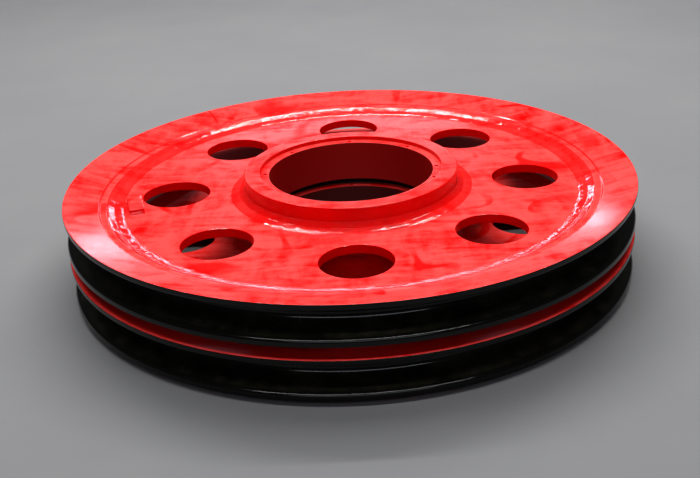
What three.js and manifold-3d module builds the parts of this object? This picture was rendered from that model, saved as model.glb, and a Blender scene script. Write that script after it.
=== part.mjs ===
// A pair of welded wire-rope sheaves, stacked hub face to hub face.
// Each sheave is a grooved rim, a web plate with lightening holes and a bored hub, joined by
// ring-shaped fillet welds, with a small marking pad welded to the upper side of the web.
// Units are millimetres. +Z is up the common axis, and the lower hub rests on z = 0.

import * as THREE from "three";
import { mergeVertices } from "three/addons/utils/BufferGeometryUtils.js";
import Module from "manifold-3d";

// Driving dimensions.
const RIM_RADIUS = 635; // outside of the flanges
const RIM_WIDTH = 87; // across the flange tips
const RIM_INNER_RADIUS = 543; // where the rim ring meets the web
const CONE_INNER_RADIUS = 562; // inner end of the dished side face
const CONE_DROP = 18; // fall of the side face from the flange tip to that radius
const SHOULDER_DROP = 4; // further fall of the shoulder, down to the rim's inner edge

const LAND_WIDTH = 8; // plain cylindrical edge of each flange
const LIP_RADIUS = 8; // rounding between that edge and the groove flank
const GROOVE_RADIUS = 17; // groove bottom, for a 32 mm wire rope
const FLANK_ANGLE = THREE.MathUtils.degToRad(18); // each flank from the radial plane

const WEB_THICKNESS = 20;
const HOLE_COUNT = 8;
const HOLE_RADIUS = 75;
const HOLE_CIRCLE_RADIUS = 397;

const HUB_LENGTH = 112;
const HUB_RADIUS = 241;
const BORE_RADIUS = 185; // bearing bore
const SEAT_RADIUS = 205.5; // shallow recess at each end of the bore
const SEAT_DEPTH = 9;
const SCREW_CIRCLE_RADIUS = 194.5;
const SCREW_HOLE_RADIUS = 4.25;
const SCREW_HOLE_DEPTH = 18;
const SCREW_ANGLES = [-20, 0, 45, 90, 135, 180, 225, 270, 315]; // degrees from +X

const HUB_WELD = { height: 15, reach: 32 };
const RIM_WELD = { height: 11, reach: 34 };
const WELD_CROWN = 0.56; // how far the weld face bulges: 0.5 is flat

const PAD = { length: 82, width: 32, thickness: 10, radius: 483.5, angle: 187.3, turn: 104 };
const PAD_WELD_LEG = 7;

const GAP = 0.3; // clearance between touching pieces
const RING_SEGMENTS = 56; // a multiple of the eight holes, so the facets of nested rings line up
const HOLE_SEGMENTS = 24;
const SCREW_SEGMENTS = 10;
const LIP_STEPS = 3;
const GROOVE_STEPS = 4;

const WEB_TOP = (HUB_LENGTH + WEB_THICKNESS) / 2;
const WEB_BOTTOM = (HUB_LENGTH - WEB_THICKNESS) / 2;
const MID_PLANE = HUB_LENGTH / 2;
const SHEAVE_PITCH = HUB_LENGTH + GAP;

const material = (colour, roughness) =>
  new THREE.MeshStandardMaterial({ color: colour, roughness, metalness: 0.1 });
const BLACK_COAT = material(0x0a0a09, 0.35);
const RED_PAINT = material(0xd80f10, 0.3);
const RED_WELD = material(0xc80c0e, 0.4);

const wasm = await Module();
wasm.setup();

const polar = (radius, angle) =>
  new THREE.Vector2(radius * Math.cos(angle), radius * Math.sin(angle));

function circlePoints(x, y, radius, count) {
  const centre = new THREE.Vector2(x, y);
  return Array.from({ length: count }, (_, i) =>
    polar(radius, (i * 2 * Math.PI) / count).add(centre));
}

// Points of an arc in the (radius, height) plane, from one angle to another.
function arcPoints(centre, radius, from, to, steps) {
  return Array.from({ length: steps + 1 }, (_, i) =>
    polar(radius, from + ((to - from) * i) / steps).add(centre));
}

// A ring swept about Z from an outline of [radius, height] points that run anticlockwise.
function ring(outline) {
  const geometry = new THREE.LatheGeometry([...outline, outline[0]], RING_SEGMENTS);
  return geometry.rotateX(Math.PI / 2).rotateZ(Math.PI / 2);
}

function toSolid(geometry) {
  const bare = geometry.clone();
  bare.deleteAttribute("normal");
  bare.deleteAttribute("uv");
  const merged = mergeVertices(bare, 1e-3);
  return new wasm.Manifold(new wasm.Mesh({
    numProp: 3,
    vertProperties: new Float32Array(merged.attributes.position.array),
    triVerts: new Uint32Array(merged.index.array),
  }));
}

function toGeometry(solid) {
  const mesh = solid.getMesh();
  const geometry = new THREE.BufferGeometry();
  geometry.setAttribute("position", new THREE.BufferAttribute(mesh.vertProperties, 3));
  geometry.setIndex(new THREE.BufferAttribute(mesh.triVerts, 1));
  geometry.computeVertexNormals();
  return geometry;
}

// Half of the rope groove, from the land of the upper flange down to the groove bottom.
function upperGroovePoints() {
  const lipCentre = new THREE.Vector2(RIM_RADIUS - LIP_RADIUS, RIM_WIDTH / 2 - LAND_WIDTH);
  const lip = arcPoints(lipCentre, LIP_RADIUS, 0, FLANK_ANGLE - Math.PI / 2, LIP_STEPS);
  const lipEnd = lip[lip.length - 1];
  const flankRun = (lipEnd.y - GROOVE_RADIUS * Math.cos(FLANK_ANGLE)) / Math.tan(FLANK_ANGLE);
  const bottomCentre = new THREE.Vector2(
    lipEnd.x - flankRun + GROOVE_RADIUS * Math.sin(FLANK_ANGLE), 0);
  const bottom = arcPoints(
    bottomCentre, GROOVE_RADIUS, Math.PI / 2 + FLANK_ANGLE, Math.PI, GROOVE_STEPS / 2);
  return [...lip, ...bottom];
}

function rimGeometry() {
  const half = RIM_WIDTH / 2;
  const upperGroove = upperGroovePoints();
  const lowerGroove = upperGroove.slice(0, -1).reverse()
    .map((point) => new THREE.Vector2(point.x, -point.y));
  const upperSide = [
    new THREE.Vector2(RIM_INNER_RADIUS, half - CONE_DROP - SHOULDER_DROP),
    new THREE.Vector2(CONE_INNER_RADIUS, half - CONE_DROP),
    new THREE.Vector2(RIM_RADIUS, half),
  ];
  const lowerSide = upperSide.map((point) => new THREE.Vector2(point.x, -point.y)).reverse();
  const outline = [...upperSide, ...upperGroove, ...lowerGroove, ...lowerSide];
  return ring(outline.reverse()).translate(0, 0, MID_PLANE);
}

function webGeometry() {
  const outer = circlePoints(0, 0, RIM_INNER_RADIUS - GAP, RING_SEGMENTS);
  const shape = new THREE.Shape(outer);
  shape.holes.push(new THREE.Path(circlePoints(0, 0, HUB_RADIUS + GAP, RING_SEGMENTS)));
  for (let i = 0; i < HOLE_COUNT; i += 1) {
    const centre = polar(HOLE_CIRCLE_RADIUS, (i * 2 * Math.PI) / HOLE_COUNT);
    shape.holes.push(
      new THREE.Path(circlePoints(centre.x, centre.y, HOLE_RADIUS, HOLE_SEGMENTS)));
  }
  const settings = { depth: WEB_THICKNESS, bevelEnabled: false };
  return new THREE.ExtrudeGeometry(shape, settings).translate(0, 0, WEB_BOTTOM);
}

function hubGeometry() {
  const outline = [
    [BORE_RADIUS, SEAT_DEPTH],
    [SEAT_RADIUS, SEAT_DEPTH],
    [SEAT_RADIUS, 0],
    [HUB_RADIUS, 0],
    [HUB_RADIUS, HUB_LENGTH],
    [SEAT_RADIUS, HUB_LENGTH],
    [SEAT_RADIUS, HUB_LENGTH - SEAT_DEPTH],
    [BORE_RADIUS, HUB_LENGTH - SEAT_DEPTH],
  ].map(([radius, height]) => new THREE.Vector2(radius, height));
  let hub = toSolid(ring(outline));
  for (const degrees of SCREW_ANGLES) {
    const centre = polar(SCREW_CIRCLE_RADIUS, THREE.MathUtils.degToRad(degrees));
    const drill = new THREE.CylinderGeometry(
      SCREW_HOLE_RADIUS, SCREW_HOLE_RADIUS, 2 * SCREW_HOLE_DEPTH, SCREW_SEGMENTS);
    drill.rotateX(Math.PI / 2).translate(centre.x, centre.y, HUB_LENGTH - SEAT_DEPTH);
    hub = hub.subtract(toSolid(drill));
  }
  return toGeometry(hub);
}

// A fillet weld ring in the upper corner between the web and a wall at wallRadius.
// outward is +1 when the weld reaches out from the wall and -1 when it reaches in.
function upperWeldOutline(wallRadius, outward, { height, reach }) {
  const wall = wallRadius + outward * GAP;
  const toe = wallRadius + outward * reach;
  const foot = WEB_TOP + GAP;
  const crown = new THREE.Vector2(
    wall + (toe - wall) * WELD_CROWN, foot + (height - GAP) * WELD_CROWN);
  const outline = [
    new THREE.Vector2(wall, foot),
    new THREE.Vector2(toe, foot),
    crown,
    new THREE.Vector2(wall, WEB_TOP + height),
  ];
  return outward > 0 ? outline : outline.reverse();
}

const upperWeld = (...weld) => ring(upperWeldOutline(...weld));

function lowerWeld(...weld) {
  const mirrored = upperWeldOutline(...weld)
    .map((point) => new THREE.Vector2(point.x, HUB_LENGTH - point.y));
  return ring(mirrored.reverse());
}

function padGeometry() {
  const foot = WEB_TOP + GAP;
  const height = PAD.thickness - GAP;
  return new THREE.BoxGeometry(PAD.length, PAD.width, height).translate(0, 0, foot + height / 2);
}

// A fillet weld across one short end of the pad; side is +1 or -1 along the pad's length.
function padWeldGeometry(side) {
  const leg = PAD_WELD_LEG;
  const section = new THREE.Shape([
    new THREE.Vector2(0, 0),
    new THREE.Vector2(leg, 0),
    new THREE.Vector2(leg * WELD_CROWN, leg * WELD_CROWN),
    new THREE.Vector2(0, leg),
  ]);
  const bead = new THREE.ExtrudeGeometry(section, { depth: PAD.width, bevelEnabled: false });
  bead.rotateX(Math.PI / 2).translate(0, PAD.width / 2, 0);
  bead.rotateZ(side > 0 ? 0 : Math.PI);
  return bead.translate(side * (PAD.length / 2 + GAP), 0, WEB_TOP + GAP);
}

// Puts a geometry built about the pad's centre where the pad sits on the web.
function atPad(geometry) {
  const centre = polar(PAD.radius, THREE.MathUtils.degToRad(PAD.angle));
  return geometry.rotateZ(THREE.MathUtils.degToRad(PAD.turn)).translate(centre.x, centre.y, 0);
}

const pieces = {
  rim: [rimGeometry(), BLACK_COAT],
  web_plate: [webGeometry(), RED_PAINT],
  hub: [hubGeometry(), RED_PAINT],
  hub_weld_top: [upperWeld(HUB_RADIUS, 1, HUB_WELD), RED_WELD],
  hub_weld_bottom: [lowerWeld(HUB_RADIUS, 1, HUB_WELD), RED_WELD],
  rim_weld_top: [upperWeld(RIM_INNER_RADIUS, -1, RIM_WELD), RED_WELD],
  rim_weld_bottom: [lowerWeld(RIM_INNER_RADIUS, -1, RIM_WELD), RED_WELD],
  marking_pad: [atPad(padGeometry()), RED_PAINT],
  pad_weld_far: [atPad(padWeldGeometry(1)), RED_WELD],
  pad_weld_near: [atPad(padWeldGeometry(-1)), RED_WELD],
};

function sheave(name, height) {
  const group = new THREE.Group();
  for (const [piece, [geometry, finish]] of Object.entries(pieces)) {
    const mesh = new THREE.Mesh(geometry, finish.clone());
    mesh.name = `${name}_${piece}`;
    group.add(mesh);
  }
  group.position.z = height;
  return group;
}

const sheavePair = new THREE.Group();
sheavePair.add(sheave("lower", 0), sheave("upper", SHEAVE_PITCH));

export default sheavePair;
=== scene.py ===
"""Looks of a stacked pair of welded wire-rope sheaves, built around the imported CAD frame.

Everything is in the frame's coordinates: metres, +Z up the common axis, z = 0 under the lower hub.
Outlines are written in millimetres, as (radius, height above the sheave's middle plane).
"""

import math

import bmesh
import bpy
from mathutils import Matrix, Vector, noise


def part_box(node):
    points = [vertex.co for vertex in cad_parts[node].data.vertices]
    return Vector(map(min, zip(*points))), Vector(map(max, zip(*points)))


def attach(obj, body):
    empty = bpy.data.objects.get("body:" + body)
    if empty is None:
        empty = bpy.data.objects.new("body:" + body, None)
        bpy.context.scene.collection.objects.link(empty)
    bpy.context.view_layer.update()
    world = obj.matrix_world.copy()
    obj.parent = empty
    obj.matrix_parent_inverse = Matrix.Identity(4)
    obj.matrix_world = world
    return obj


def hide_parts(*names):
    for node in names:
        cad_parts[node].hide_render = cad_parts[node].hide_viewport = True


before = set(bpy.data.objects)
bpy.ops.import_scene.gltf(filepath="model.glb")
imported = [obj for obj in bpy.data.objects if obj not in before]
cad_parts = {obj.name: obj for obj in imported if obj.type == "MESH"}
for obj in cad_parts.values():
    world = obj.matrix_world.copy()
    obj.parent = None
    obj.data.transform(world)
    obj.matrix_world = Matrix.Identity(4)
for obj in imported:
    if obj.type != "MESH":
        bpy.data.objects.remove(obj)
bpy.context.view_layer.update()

MM = 0.001
SHEAVES = ("lower", "upper")


def size_of(node):
    low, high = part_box(node)
    return (high - low) / MM


# Sizes read from the frame, in millimetres.
RIM_RADIUS = size_of("upper_rim").x / 2
RIM_HALF = size_of("upper_rim").z / 2
HUB_RADIUS = size_of("upper_hub").x / 2
HUB_HALF = size_of("upper_hub").z / 2
WEB_HALF = size_of("upper_web_plate").z / 2
HUB_WELD_REACH = size_of("upper_hub_weld_top").x / 2 - HUB_RADIUS
HUB_WELD_HEIGHT = size_of("upper_hub_weld_top").z
RIM_WELD_HEIGHT = size_of("upper_rim_weld_top").z

# Sizes that a bounding box doesn't give, as in the CAD source.
RIM_INNER_RADIUS = 543
CONE_INNER_RADIUS = 562
CONE_DROP = 18
SHOULDER_DROP = 4
LAND_WIDTH = 8
LIP_RADIUS = 8
GROOVE_RADIUS = 17
FLANK_ANGLE = math.radians(18)
RIM_WELD_REACH = 34
HOLE_COUNT = 8
HOLE_RADIUS = 75
HOLE_CIRCLE_RADIUS = 397
BORE_RADIUS = 185
SEAT_RADIUS = 205.5
SEAT_DEPTH = 9
SCREW_CIRCLE_RADIUS = 194.5
SCREW_HOLE_RADIUS = 4.25
SCREW_HOLE_DEPTH = 18
SCREW_ANGLES = (-20, 0, 45, 90, 135, 180, 225, 270, 315)
PAD_LENGTH = 82
PAD_WIDTH = 32
PAD_HEIGHT = 10
PAD_RADIUS = 483.5
PAD_ANGLE = math.radians(187.3)
PAD_TURN = math.radians(104)
GAP = 0.3

# Details that only the looks have, in millimetres.
PAD_BEAD_LEG = 5
EDGE_BREAK = 0.8
ARC_MARGIN = 0.4
FLOOR_HALF = 30000

# How finely the meshes are divided, and where their shading breaks.
SHARP_ANGLE = math.radians(32)
RING_SEGMENTS = 360
BEAD_SEGMENTS = 1080
BEAD_STEPS = 22
PAD_BEAD_SEGMENTS = 60
PAD_BEAD_STEPS = 8
DRILL_SIDES = 24
WEB_RINGS = 7
WEB_OUTER_STEPS = 24
WEB_SIDE_STEPS = 16
WEB_INNER_STEPS = 12


# ---------------------------------------------------------------- shapes

def middle_of(sheave):
    """Height of a sheave's middle plane, in millimetres."""
    low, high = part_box(f"{sheave}_rim")
    return (low.z + high.z) / 2 / MM


def rounded(corners):
    """A closed outline from (radius, height, fillet) corners, each fillet as an arc.

    A point just outside each end of an arc keeps the smooth shading of the flat beside it flat.
    """
    outline = []
    for i, (x, y, fillet) in enumerate(corners):
        corner = Vector((x, y))
        if not fillet:
            outline.append(corner)
            continue
        before = (Vector(corners[i - 1][:2]) - corner).normalized()
        after = (Vector(corners[(i + 1) % len(corners)][:2]) - corner).normalized()
        half_angle = before.angle(after) / 2
        centre = corner + (before + after).normalized() * fillet / math.sin(half_angle)
        reach = fillet / math.tan(half_angle)
        start = corner + before * reach - centre
        turn = start.angle_signed(corner + after * reach - centre)
        steps = max(3, round(abs(turn) * math.sqrt(fillet) * 2))
        outline.append(corner + before * (reach + ARC_MARGIN))
        for k in range(steps + 1):
            outline.append(centre + Matrix.Rotation(-turn * k / steps, 2) @ start)
        outline.append(corner + after * (reach + ARC_MARGIN))
    return outline


def mirrored(corners):
    """The corners and their mirror image in the middle plane, as one closed outline."""
    return corners + [(x, -y, fillet) for x, y, fillet in reversed(corners)]


def mesh_object(name, points, faces, merge=None):
    """An object from points in millimetres. Points closer together than merge become one."""
    mesh = bpy.data.meshes.new(name)
    mesh.from_pydata([tuple(c * MM for c in p) for p in points], [], faces)
    build = bmesh.new()
    build.from_mesh(mesh)
    if merge:
        bmesh.ops.remove_doubles(build, verts=build.verts, dist=merge * MM)
    bmesh.ops.recalc_face_normals(build, faces=build.faces)
    build.to_mesh(mesh)
    build.free()
    mesh.shade_smooth()
    mesh.set_sharp_from_angle(angle=SHARP_ANGLE)
    piece = bpy.data.objects.new(name, mesh)
    bpy.context.scene.collection.objects.link(piece)
    return piece


def lathe(name, outline, middle, segments=RING_SEGMENTS, shape=None):
    """A ring swept from a closed outline, whose points shape(angle, index) may move out and up."""
    count = len(outline)
    points, faces = [], []
    for j in range(segments):
        angle = 2 * math.pi * j / segments
        for i, (radius, height) in enumerate(outline):
            if shape:
                outward, up = shape(angle, i)
                radius, height = radius + outward, height + up
            points.append((radius * math.cos(angle), radius * math.sin(angle), middle + height))
    for j in range(segments):
        here, there = j * count, (j + 1) % segments * count
        for i in range(count):
            k = (i + 1) % count
            faces.append((here + i, there + i, there + k, here + k))
    return mesh_object(name, points, faces)


def stacked(count, levels):
    """Faces of a closed column: count points on each level, with a cap on the first and last."""
    faces = [tuple(range(count)), tuple(range((levels - 1) * count, levels * count))]
    for level in range(levels - 1):
        for k in range(count):
            a, b = level * count + k, level * count + (k + 1) % count
            faces.append((a, b, b + count, a + count))
    return faces


def polar(radius, angle):
    return Vector((radius * math.cos(angle), radius * math.sin(angle)))


def merge_close(mesh):
    """Joins points that lie within a hundredth of a millimetre of each other."""
    build = bmesh.new()
    build.from_mesh(mesh)
    bmesh.ops.remove_doubles(build, verts=build.verts, dist=0.01 * MM)
    bmesh.ops.dissolve_degenerate(build, edges=build.edges, dist=0.002 * MM)
    build.to_mesh(mesh)
    build.free()


def cut_away(piece, tools):
    """Cuts the tools out of a piece and deletes them."""
    for tool in tools:
        modifier = piece.modifiers.new("cut", "BOOLEAN")
        modifier.operation = "DIFFERENCE"
        modifier.solver = "EXACT"
        modifier.object = tool
    graph = bpy.context.evaluated_depsgraph_get()
    mesh = bpy.data.meshes.new_from_object(piece.evaluated_get(graph))
    piece.modifiers.clear()
    piece.data = mesh
    merge_close(mesh)
    for tool in tools:
        bpy.data.objects.remove(tool)


# ---------------------------------------------------------------- nodes

class Nodes:
    """Short calls for building a material's node tree."""

    def __init__(self, name):
        self.material = bpy.data.materials.new(name)
        self.material.use_nodes = True
        self.tree = self.material.node_tree
        self.shader = self.tree.nodes["Principled BSDF"]
        texture = self.tree.nodes.new("ShaderNodeTexCoord")
        self.coordinates, self.facing = texture.outputs["Object"], texture.outputs["Normal"]

    def put(self, socket, value):
        if isinstance(value, bpy.types.NodeSocket):
            self.tree.links.new(value, socket)
        else:
            socket.default_value = value

    def math(self, operation, first, second=0.0):
        node = self.tree.nodes.new("ShaderNodeMath")
        node.operation = operation
        self.put(node.inputs[0], first)
        self.put(node.inputs[1], second)
        return node.outputs[0]

    def add(self, first, second):
        return self.math("ADD", first, second)

    def times(self, first, second):
        return self.math("MULTIPLY", first, second)

    def distance(self, first, second):
        return self.math("ABSOLUTE", self.math("SUBTRACT", first, second))

    def ramp(self, value, low, high, start=0.0, end=1.0):
        """Turns value, as it goes from low to high, smoothly from start to end."""
        node = self.tree.nodes.new("ShaderNodeMapRange")
        node.interpolation_type = "SMOOTHSTEP"
        self.put(node.inputs["Value"], value)
        limits = {"From Min": low, "From Max": high, "To Min": start, "To Max": end}
        for socket, number in limits.items():
            self.put(node.inputs[socket], number)
        return node.outputs["Result"]

    def noise(self, scale, detail=3.0, roughness=0.5, distortion=0.0, vector=None):
        node = self.tree.nodes.new("ShaderNodeTexNoise")
        self.put(node.inputs["Vector"], vector or self.coordinates)
        self.put(node.inputs["Scale"], scale)
        self.put(node.inputs["Detail"], detail)
        self.put(node.inputs["Roughness"], roughness)
        self.put(node.inputs["Distortion"], distortion)
        return node.outputs["Fac"]

    def stretched(self, scales, turn):
        node = self.tree.nodes.new("ShaderNodeMapping")
        self.put(node.inputs["Vector"], self.coordinates)
        node.inputs["Rotation"].default_value = (0, 0, turn)
        node.inputs["Scale"].default_value = scales
        return node.outputs[0]

    def split(self, vector):
        node = self.tree.nodes.new("ShaderNodeSeparateXYZ")
        self.put(node.inputs[0], vector)
        return node.outputs

    def place(self):
        """A point's x, y and z, and its distance from the axis, in metres."""
        x, y, z = self.split(self.coordinates)
        return x, y, z, self.math("SQRT", self.add(self.times(x, x), self.times(y, y)))

    def ring_coordinates(self, per_turn, per_metre):
        """Coordinates for marks that run round the axis, with a scale along them and one across."""
        x, y, z, radius = self.place()
        join = self.tree.nodes.new("ShaderNodeCombineXYZ")
        for socket, part in ((0, x), (1, y)):
            unit = self.math("DIVIDE", part, radius)
            self.put(join.inputs[socket], self.times(unit, per_turn))
        self.put(join.inputs[2], self.times(self.add(radius, z), per_metre))
        return join.outputs[0]

    def mix(self, factor, first, second):
        """Mixes two colours."""
        node = self.tree.nodes.new("ShaderNodeMix")
        node.data_type = "RGBA"
        self.put(node.inputs["Factor"], factor)
        self.put(node.inputs["A"], first)
        self.put(node.inputs["B"], second)
        return node.outputs["Result"]

    def blend(self, factor, first, second):
        """Mixes two numbers."""
        node = self.tree.nodes.new("ShaderNodeMix")
        self.put(node.inputs["Factor"], factor)
        self.put(node.inputs["A"], first)
        self.put(node.inputs["B"], second)
        return node.outputs["Result"]

    def attribute(self, name):
        node = self.tree.nodes.new("ShaderNodeAttribute")
        node.attribute_name = name
        return node.outputs["Fac"]

    def bump(self, height, distance, below=None):
        """A normal for bumps of a height in metres, on top of the normal below."""
        node = self.tree.nodes.new("ShaderNodeBump")
        node.inputs["Strength"].default_value = 1.0
        node.inputs["Distance"].default_value = distance
        self.put(node.inputs["Height"], height)
        if below:
            self.put(node.inputs["Normal"], below)
        return node.outputs["Normal"]

    def finish(self, colour, roughness, normal, **constants):
        self.put(self.shader.inputs["Base Color"], colour)
        self.put(self.shader.inputs["Roughness"], roughness)
        self.put(self.shader.inputs["Normal"], normal)
        for socket, value in constants.items():
            self.shader.inputs[socket.replace("_", " ")].default_value = value
        return self.material


# Colours in linear light.
RED = (0.62, 0.0, 0.0, 1)
# A pale tint for up faces: partly a dusty film, partly painted sheen of the bright ceiling.
FILM_AND_SHEEN_RED = (0.70, 0.044, 0.040, 1)
# Bore walls: partly a thin dark coat, partly painted shade. Lower bore: painted shade.
BORE_COAT_AND_SHADE_RED = (0.24, 0.0, 0.0, 1)
LOWER_BORE_SHADE_RED = (0.04, 0.0, 0.0, 1)
SMEAR_RED = (0.52, 0.001, 0.001, 1)
# Painted shade on the rim sides deep in the gap between the two sheaves.
GAP_SHADE_RED = (0.36, 0.0, 0.0, 1)
BLACK = (0.0018, 0.0018, 0.0015, 1)
GROOVE_DUST = (0.012, 0.011, 0.007, 1)
DARK_FLOOR = (0.125, 0.125, 0.13, 1)
LIGHT_FLOOR = (0.155, 0.155, 0.155, 1)


def bore_coat_and_shade(nodes, colour):
    """The colour inside the bores, and a mask that is 1 there and 0 further out.

    The bore walls are a darker red, partly a thin dark coat and partly painted shade. The lower
    bore is darker still, as painted shade, and the recesses between the two hubs are painted
    black as shade.
    """
    _, _, height, radius = nodes.place()
    wall = nodes.ramp(radius, (BORE_RADIUS + 0.8) * MM, (BORE_RADIUS + 1.6) * MM, 1.0, 0.0)
    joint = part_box("lower_hub")[1].z
    off_joint = nodes.distance(height, joint + 0.2 * MM)
    near_joint = nodes.ramp(off_joint, (SEAT_DEPTH - 0.2) * MM, (SEAT_DEPTH + 0.4) * MM, 1.0, 0.0)
    in_seat = nodes.ramp(radius, (SEAT_RADIUS + 1) * MM, (SEAT_RADIUS + 2) * MM, 1.0, 0.0)
    # Where the two hubs' recesses meet, black stands in as painted shade.
    recess = nodes.times(in_seat, near_joint)
    lower_bore = joint - SEAT_DEPTH * MM
    # Painted shade: darker further down, in the lower bore.
    lower_bore_shade = nodes.ramp(height, lower_bore - 2.2 * MM, lower_bore - 1.4 * MM, 1.0, 0.0)
    colour = nodes.mix(wall, colour, nodes.mix(lower_bore_shade, BORE_COAT_AND_SHADE_RED, LOWER_BORE_SHADE_RED))
    return nodes.mix(recess, colour, BLACK), nodes.math("MAXIMUM", wall, recess)


def facing_up(nodes):
    """A mask that is 1 on surfaces that face up and 0 on walls and undersides."""
    return nodes.ramp(nodes.split(nodes.facing)["Z"], 0.75, 0.95)


def wiped_film_and_sheen(nodes):
    """The pale film, partly dusty film and partly painted sheen: its streaks, what wiped arcs leave
    of it, and the red below.
    """
    swirls = nodes.noise(4.5, detail=5.0, roughness=0.6, distortion=2.6)
    strokes = nodes.noise(
        6.0, detail=4.0, roughness=0.65, distortion=1.2,
        vector=nodes.stretched((1.0, 4.5, 1.0), 0.5))
    cross_strokes = nodes.noise(
        7.0, detail=4.0, roughness=0.65, distortion=1.0,
        vector=nodes.stretched((4.0, 1.0, 1.0), 0.3))
    marks = nodes.add(nodes.times(strokes, 0.7), nodes.times(cross_strokes, 0.4))
    marks = nodes.add(marks, nodes.times(swirls, 0.7))
    contour = nodes.noise(2.6, detail=1.5, distortion=1.6)
    arcs = nodes.ramp(nodes.distance(contour, 0.5), 0.014, 0.04, 1.0, 0.0)
    arcs = nodes.times(arcs, nodes.ramp(nodes.noise(5.0), 0.45, 0.6))
    unwiped = nodes.math("SUBTRACT", 1.0, nodes.times(arcs, 0.9))
    below = nodes.mix(nodes.ramp(swirls, 0.4, 0.7), RED, SMEAR_RED)
    return marks, unwiped, below


def red_layers(nodes, roughness, film_and_sheen_amount=1.0):
    """Colour, roughness and normal of brushed red enamel with a wiped pale film on its upper side,
    partly dust and partly painted sheen.
    """
    marks, unwiped, below = wiped_film_and_sheen(nodes)
    film_and_sheen = nodes.times(nodes.ramp(marks, 0.64, 1.06, 0.0, film_and_sheen_amount), unwiped)
    # Painted sheen: the pale tint goes only on faces that point up, where the ceiling would
    # reflect.
    film_and_sheen = nodes.times(film_and_sheen, facing_up(nodes))
    colour = nodes.mix(film_and_sheen, below, FILM_AND_SHEEN_RED)
    dull = nodes.add(roughness, nodes.times(film_and_sheen, 0.07))
    brush_marks = nodes.noise(
        16.0, detail=4.0, roughness=0.6, distortion=0.5,
        vector=nodes.stretched((1.0, 7.0, 1.0), 0.35))
    normal = nodes.bump(brush_marks, 0.10 * MM)
    normal = nodes.bump(nodes.noise(9.0, detail=2.0), 0.4 * MM, below=normal)
    normal = nodes.bump(nodes.noise(420.0, detail=2.0), 0.012 * MM, below=normal)
    return colour, dull, normal


def enamel_red():
    """The paint of the web plates, hubs and pads."""
    nodes = Nodes("enamel_red")
    colour, dull, normal = red_layers(nodes, 0.11)
    # Darker bore walls and black recesses between the hubs, partly painted shade.
    colour, bore = bore_coat_and_shade(nodes, colour)
    return nodes.finish(colour, nodes.blend(bore, dull, 0.5), normal, Specular_IOR_Level=0.2)


def weld_red():
    """Glossier paint over ripples that are drawn out along the bead."""
    nodes = Nodes("weld_red")
    colour, _, normal = red_layers(nodes, 0.2, film_and_sheen_amount=0.3)
    ripples = nodes.noise(
        1.0, detail=2.0, roughness=0.55, vector=nodes.ring_coordinates(7.0, 280.0))
    normal = nodes.bump(ripples, 0.22 * MM, below=normal)
    normal = nodes.bump(nodes.noise(240.0, detail=2.0, roughness=0.6), 0.04 * MM, below=normal)
    roughness = nodes.ramp(nodes.noise(40.0, detail=2.0), 0.35, 0.65, 0.03, 0.10)
    return nodes.finish(colour, roughness, normal, Specular_IOR_Level=0.5)


def rim_two_tone():
    """Red on the side faces, duller where the sheaves face each other and darker there as painted
    shade, and black in the groove.

    The mesh attribute paint_edge is the distance past the red paint's edge, in millimetres, and
    covered is 1 on the side that faces the other sheave.
    """
    nodes = Nodes("rim_two_tone")
    paint_edge, covered = nodes.attribute("paint_edge"), nodes.attribute("covered")
    red, red_dull, red_normal = red_layers(nodes, 0.10)
    # Painted shade: the red darkens more than 14 mm in from the rim's edge, on the side facing the
    # other sheave.
    gap_shade_depth = nodes.ramp(paint_edge, -14.0, -3.0, 1.0, 0.0)
    red = nodes.mix(nodes.times(covered, gap_shade_depth), red, GAP_SHADE_RED)
    red_dull = nodes.blend(covered, red_dull, 0.55)
    waver = nodes.times(nodes.math("SUBTRACT", nodes.noise(70.0), 0.5), 1.6)
    past_edge = nodes.add(paint_edge, waver)
    black_side = nodes.ramp(past_edge, -0.1, 0.1)
    turned = nodes.noise(1.0, roughness=0.6, vector=nodes.ring_coordinates(6.0, 700.0))
    patches = nodes.noise(1.0, roughness=0.6, vector=nodes.ring_coordinates(12.0, 40.0))
    dust = nodes.times(nodes.ramp(past_edge, 14.0, 24.0), nodes.ramp(patches, 0.3, 0.75))
    black = nodes.mix(nodes.times(dust, 0.8), BLACK, GROOVE_DUST)
    black_dull = nodes.add(0.06, nodes.times(turned, 0.10))
    black_dull = nodes.add(black_dull, nodes.times(dust, 0.06))
    normal = nodes.bump(nodes.times(turned, black_side), 0.04 * MM, below=red_normal)
    return nodes.finish(
        nodes.mix(black_side, red, black), nodes.blend(black_side, red_dull, black_dull), normal,
        Specular_IOR_Level=0.2)


def floor_grey():
    nodes = Nodes("floor_grey")
    colour = nodes.mix(nodes.noise(1.6, detail=4.0, roughness=0.6), DARK_FLOOR, LIGHT_FLOOR)
    roughness = nodes.ramp(nodes.noise(3.0, detail=4.0, roughness=0.6), 0.3, 0.7, 0.45, 0.6)
    normal = nodes.bump(nodes.noise(90.0), 0.2 * MM)
    return nodes.finish(colour, roughness, normal, Specular_IOR_Level=0.0)


# ---------------------------------------------------------------- pieces

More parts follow.
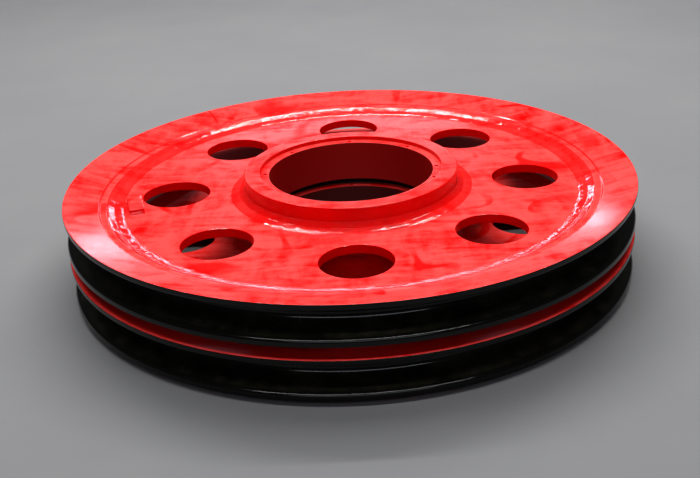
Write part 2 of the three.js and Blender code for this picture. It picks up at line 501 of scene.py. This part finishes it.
def rim_outline():
    """The rim's outline, and how far past the red paint's edge each point is, below 0 on red."""
    lip_corner = RIM_HALF - LAND_WIDTH - LIP_RADIUS * math.tan((math.pi / 2 - FLANK_ANGLE) / 2)
    apex = RIM_RADIUS - lip_corner / math.tan(FLANK_ANGLE)
    cone_end = RIM_HALF - CONE_DROP
    upper = [
        (RIM_INNER_RADIUS, cone_end - SHOULDER_DROP, 2.5),
        (CONE_INNER_RADIUS - 4, cone_end - 2.8, 2),
        (CONE_INNER_RADIUS, cone_end, 2.5),
        (RIM_RADIUS, RIM_HALF, 1.2),
        (RIM_RADIUS, lip_corner, LIP_RADIUS),
    ]
    lower = [(x, -y, fillet) for x, y, fillet in reversed(upper)]
    outline = rounded(upper + [(apex, 0, GROOVE_RADIUS)] + lower)
    # A wedge that starts below the groove's floor tells the groove's flanks from the rim's sides.
    wedge_start, wedge_half, widening = RIM_RADIUS - 56, 24, 0.22
    past_edge = []
    for radius, height in outline:
        groove_limit = wedge_half + widening * (radius - wedge_start)
        on_side = abs(height) > groove_limit and radius < RIM_RADIUS - 0.5
        from_edge = math.hypot(RIM_RADIUS - radius, RIM_HALF - abs(height))
        past_edge.append(-from_edge if radius < wedge_start or on_side else from_edge)
    return outline, past_edge


def make_rim(sheave):
    """The grooved ring, with what rim_two_tone needs stored on its points."""
    outline, past_edge = rim_outline()
    piece = lathe(f"{sheave}_rim_ring", outline, middle_of(sheave))
    towards_gap = 1 if sheave == "lower" else -1
    covered = [1.0 if height * towards_gap > 0 else 0.0 for _, height in outline]
    for name, values in (("paint_edge", past_edge), ("covered", covered)):
        attribute = piece.data.attributes.new(name, "FLOAT", "POINT")
        attribute.data.foreach_set("value", values * RING_SEGMENTS)
    return piece


def web_sector(turn):
    """One eighth of the web, as columns of points from its hole out to the sector's border.

    The points lie closer together near the hole.
    """
    half = math.pi / HOLE_COUNT
    inner, outer = HUB_RADIUS + GAP, RIM_INNER_RADIUS - GAP
    width = outer - inner
    border = [
        polar(outer, -half + 2 * half * k / WEB_OUTER_STEPS) for k in range(WEB_OUTER_STEPS)]
    border += [polar(outer - width * k / WEB_SIDE_STEPS, half) for k in range(WEB_SIDE_STEPS)]
    border += [
        polar(inner, half - 2 * half * k / WEB_INNER_STEPS) for k in range(WEB_INNER_STEPS)]
    border += [polar(inner + width * k / WEB_SIDE_STEPS, -half) for k in range(WEB_SIDE_STEPS)]
    centre = Vector((HOLE_CIRCLE_RADIUS, 0))
    sector = []
    for point in border:
        edge = centre + (point - centre).normalized() * HOLE_RADIUS
        sector.append([
            turn @ edge.lerp(point, (k / WEB_RINGS) ** 1.5) for k in range(WEB_RINGS + 1)])
    return sector


def make_web(sheave):
    """A plate with eight holes, whose hole edges are slightly broken.

    Each column of a sector holds the upper face's points, the lower face's, and the two ends of
    the hole's wall.
    """
    middle = middle_of(sheave)
    inner_start = WEB_OUTER_STEPS + WEB_SIDE_STEPS
    rows = WEB_RINGS + 1
    stride = 2 * rows + 2
    points, faces = [], []
    for index in range(HOLE_COUNT):
        turn = Matrix.Rotation(2 * math.pi * index / HOLE_COUNT, 2)
        centre = turn @ Vector((HOLE_CIRCLE_RADIUS, 0))
        sector = web_sector(turn)
        start, columns = len(points), len(sector)
        for column in sector:
            out = (column[0] - centre).normalized() * EDGE_BREAK
            face_row = [column[0] + out] + column[1:]
            points += [(*p, middle + WEB_HALF) for p in face_row]
            points += [(*p, middle - WEB_HALF) for p in face_row]
            points += [(*column[0], middle + side * (WEB_HALF - EDGE_BREAK)) for side in (1, -1)]
        for j in range(columns):
            here, there = start + j * stride, start + (j + 1) % columns * stride
            pairs = [(k, k + 1) for k in range(rows - 1)]
            pairs += [(rows + k, rows + k + 1) for k in range(rows - 1)]
            hole_wall = [rows, 2 * rows + 1, 2 * rows, 0]
            pairs += list(zip(hole_wall, hole_wall[1:]))
            if j < WEB_OUTER_STEPS or inner_start <= j < inner_start + WEB_INNER_STEPS:
                pairs.append((rows - 1, 2 * rows - 1))
            faces += [(here + a, there + a, there + b, here + b) for a, b in pairs]
    return mesh_object(f"{sheave}_web_disc", points, faces, merge=0.02)


def screw_drill(middle, degrees):
    """A drill point with a countersink, standing in the recess at the hub's upper end."""
    mouth = middle + HUB_HALF - SEAT_DEPTH
    centre = polar(SCREW_CIRCLE_RADIUS, math.radians(degrees))
    rings = [
        (SCREW_HOLE_RADIUS + 1, 2),
        (SCREW_HOLE_RADIUS + 0.6, 0),
        (SCREW_HOLE_RADIUS, -0.6),
        (SCREW_HOLE_RADIUS, -SCREW_HOLE_DEPTH),
    ]
    points = [
        (*(centre + polar(radius, 2 * math.pi * k / DRILL_SIDES)), mouth + height)
        for radius, height in rings for k in range(DRILL_SIDES)]
    return mesh_object("drill", points, stacked(DRILL_SIDES, len(rings)))


def make_hub(sheave):
    """The bored ring with its recesses, and tapped holes in the upper recess."""
    middle, seat = middle_of(sheave), HUB_HALF - SEAT_DEPTH
    upper = [
        (BORE_RADIUS, seat, 1.5),
        (SEAT_RADIUS, seat, 0.8),
        (SEAT_RADIUS, HUB_HALF, 1.0),
        (HUB_RADIUS, HUB_HALF, 3.0),
    ]
    piece = lathe(f"{sheave}_hub_ring", rounded(mirrored(upper)), middle)
    cut_away(piece, [screw_drill(middle, degrees) for degrees in SCREW_ANGLES])
    return piece


def make_bead(name, middle, wall, outward, height, reach, side):
    """A hollow fillet weld ring, laid in two passes.

    wall is the radius of the ring's upright face, and outward is 1 where the bead lies outside it
    and -1 where it lies inside. side is 1 on top of the web and -1 below it.
    """
    seam = 0.42  # where the passes meet, as a share of the way from the wall to the toe
    foot = WEB_HALF + GAP
    start = wall + outward * GAP
    outline, across = [Vector((start, foot))], [None]
    for k in range(BEAD_STEPS + 1):
        t = k / BEAD_STEPS
        place = t / seam if t < seam else (t - seam) / (1 - seam)
        lobe = math.sin(math.pi * place) ** 0.7 * (0.8 if t < seam else 1.6)
        toe = min(1.0, (1 - t) * 9)
        outline.append(Vector((
            start + outward * reach * t,
            foot + height * (1 - t) ** 2 + (lobe + 0.5) * toe)))
        across.append(t)

    def unevenness(angle, index):
        """How far a point of the bead moves outward and up."""
        t = across[index]
        if t is None:
            return 0.0, 0.0
        around = Vector((math.cos(angle), math.sin(angle), 0)) * wall
        row = Vector((0, 0, 1 if t < seam else 5))

        def waves(length, drift=0.0):
            """Smooth noise with waves of a length in millimetres."""
            return noise.noise(around / length + row + Vector((0, 0, drift)))

        wander = waves(55) * 2.2 * t + waves(11) * 0.8 * t
        lift = (waves(9, t * 4) * 0.55 + waves(26) * 0.8) * math.sin(math.pi * t) ** 0.5
        lowest = -0.6 * height * (1 - t) ** 2 - 0.4
        return outward * wander, side * max(lift, lowest)

    if side < 0:
        outline = [Vector((x, -y)) for x, y in outline]
    return lathe(name, outline, middle, BEAD_SEGMENTS, unevenness)


def at_pad(piece, middle):
    """Moves a piece built about the pad's centre to the pad's place on the web."""
    centre = polar(PAD_RADIUS, PAD_ANGLE) * MM
    place = Matrix.Translation((*centre, (middle + WEB_HALF) * MM))
    piece.data.transform(place @ Matrix.Rotation(PAD_TURN, 4, "Z"))
    return piece


def make_pad(sheave):
    """A small sawn block with rounded edges, flat underneath."""
    outline = rounded([
        (sx * PAD_LENGTH / 2, sy * PAD_WIDTH / 2, 2.5)
        for sx, sy in ((1, 1), (-1, 1), (-1, -1), (1, -1))])
    # Heights, and how far the outline is drawn in there.
    levels = [(GAP, 0), (PAD_HEIGHT - 1.2, 0), (PAD_HEIGHT - 0.35, 0.35), (PAD_HEIGHT, 1.2)]
    points = []
    for height, inset in levels:
        shrink = Vector((1 - 2 * inset / PAD_LENGTH, 1 - 2 * inset / PAD_WIDTH))
        points += [(x * shrink.x, y * shrink.y, height) for x, y in outline]
    block = mesh_object(f"{sheave}_pad_block", points, stacked(len(outline), len(levels)))
    return at_pad(block, middle_of(sheave))


def make_pad_bead(name, sheave, side):
    """The fillet weld across one end of the pad, with rounded ends."""
    points = []
    for j in range(PAD_BEAD_SEGMENTS + 1):
        s = 2 * j / PAD_BEAD_SEGMENTS - 1
        leg = PAD_BEAD_LEG * max(0.15, math.sqrt(1 - s ** 6))
        y = s * (PAD_WIDTH / 2 + 1)
        scallop = abs(math.sin(j * math.pi / 6)) * 0.7
        row = [(GAP, GAP)]
        for k in range(PAD_BEAD_STEPS + 1):
            t = k / PAD_BEAD_STEPS
            lumps = noise.noise(Vector((y / 5, t * 2, side))) * 0.8
            bulge = math.sin(math.pi * t) * (0.18 * leg + scallop * 0.6 + lumps)
            row.append((GAP + leg * t + bulge * 0.6, GAP + leg * (1 - t) + bulge * 0.6))
        points += [(side * (PAD_LENGTH / 2 + x), y, z) for x, z in row]
    bead = mesh_object(name, points, stacked(PAD_BEAD_STEPS + 2, PAD_BEAD_SEGMENTS + 1))
    return at_pad(bead, middle_of(sheave))


def make_sheave(sheave, finishes):
    """Builds one sheave's pieces, each in the place of its CAD node."""
    middle = middle_of(sheave)
    welds = {
        "hub": (HUB_RADIUS, 1, HUB_WELD_HEIGHT, HUB_WELD_REACH - GAP),
        "rim": (RIM_INNER_RADIUS, -1, RIM_WELD_HEIGHT, RIM_WELD_REACH - GAP),
    }
    made = {
        "rim": (make_rim(sheave), "rim_paint"),
        "web_plate": (make_web(sheave), "red_paint"),
        "hub": (make_hub(sheave), "red_paint"),
        "marking_pad": (make_pad(sheave), "red_paint"),
    }
    for end, side in (("top", 1), ("bottom", -1)):
        for place, weld in welds.items():
            bead = make_bead(f"{sheave}_{place}_bead_{end}", middle, *weld, side)
            made[f"{place}_weld_{end}"] = (bead, "weld_paint")
    for end, side in (("far", 1), ("near", -1)):
        bead = make_pad_bead(f"{sheave}_pad_bead_{end}", sheave, side)
        made[f"pad_weld_{end}"] = (bead, "weld_paint")
    for node, (piece, slot) in made.items():
        piece.data.materials.clear()
        piece.data.materials.append(finishes[slot])
        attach(piece, f"{sheave}_sheave")
        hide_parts(f"{sheave}_{node}")


# ---------------------------------------------------------------- studio

WHITE = (1, 1, 1)
DAYLIGHT = (0.78, 0.84, 1.0)
PALE_DAYLIGHT = (0.85, 0.9, 1.0)


def area_light(name, place, target, width, depth, power, colour=WHITE, glints=True):
    """A panel in metres and watts, aimed at target. Reflections show it only with glints."""
    light = bpy.data.lights.new(name, "AREA")
    light.shape = "RECTANGLE"
    light.size, light.size_y = width, depth
    light.energy, light.color = power, colour
    lamp = bpy.data.objects.new(name, light)
    lamp.visible_camera = False
    lamp.visible_glossy = glints
    lamp.location = place
    lamp.rotation_euler = (Vector(target) - Vector(place)).to_track_quat("-Z", "Y").to_euler()
    bpy.context.scene.collection.objects.link(lamp)


def make_camera():
    """The camera that was fitted to the rims, the bore and the holes in the photo."""
    data = bpy.data.cameras.new("camera")
    data.sensor_width, data.lens = 36, 53.9
    data.shift_x = -0.0532
    camera = bpy.data.objects.new("camera", data)
    bpy.context.scene.collection.objects.link(camera)
    pitch, yaw, roll = math.radians(-24.77), math.radians(-2.17), math.radians(-2.22)
    look = Matrix.Rotation(yaw, 4, "Z") @ Matrix.Rotation(math.pi / 2 + pitch, 4, "X")
    camera.location = (-0.0083, -2.2254, 1.0658)
    camera.rotation_euler = (look @ Matrix.Rotation(roll, 4, "Z")).to_euler()
    bpy.context.scene.camera = camera


def make_studio():
    """A grey floor, lamp rows and a far window that give the glints, and broad soft lights."""
    corners = [
        (sx * FLOOR_HALF, sy * FLOOR_HALF, 0) for sx, sy in ((-1, -1), (1, -1), (1, 1), (-1, 1))]
    floor = mesh_object("floor", corners, [(0, 1, 2, 3)])
    floor.data.materials.append(floor_grey())
    world = bpy.data.worlds.new("studio")
    world.use_nodes = True
    background = world.node_tree.nodes["Background"]
    background.inputs["Color"].default_value = (0.96, 0.98, 1.0, 1)
    background.inputs["Strength"].default_value = 0.05
    bpy.context.scene.world = world
    area_light("overhead", (0, 2.0, 4.2), (0, 0.2, 0), 5.5, 4.0, 380, glints=False)
    area_light("lamp_row", (0, -1.9, 4.2), (0, 0, 0), 5.0, 0.12, 130)
    area_light("far_lamp_row", (0, 2.4, 4.2), (0, 0.2, 0), 5.0, 0.12, 200)
    area_light("far_wall", (0, 9, 3.4), (0, 0, 0.2), 14, 4, 34, glints=False)
    area_light("window", (-0.15, 20, 5.0), (0, 0, 0.2), 6.0, 0.9, 210, DAYLIGHT)
    area_light("front_strip", (0, -5.0, 3.4), (0, -0.6, 0.15), 5, 0.5, 60, PALE_DAYLIGHT)
    bpy.context.scene.view_settings.view_transform = "Standard"


make_camera()
make_studio()
FINISHES = {"rim_paint": rim_two_tone(), "red_paint": enamel_red(), "weld_paint": weld_red()}
for sheave_name in SHEAVES:
    make_sheave(sheave_name, FINISHES)
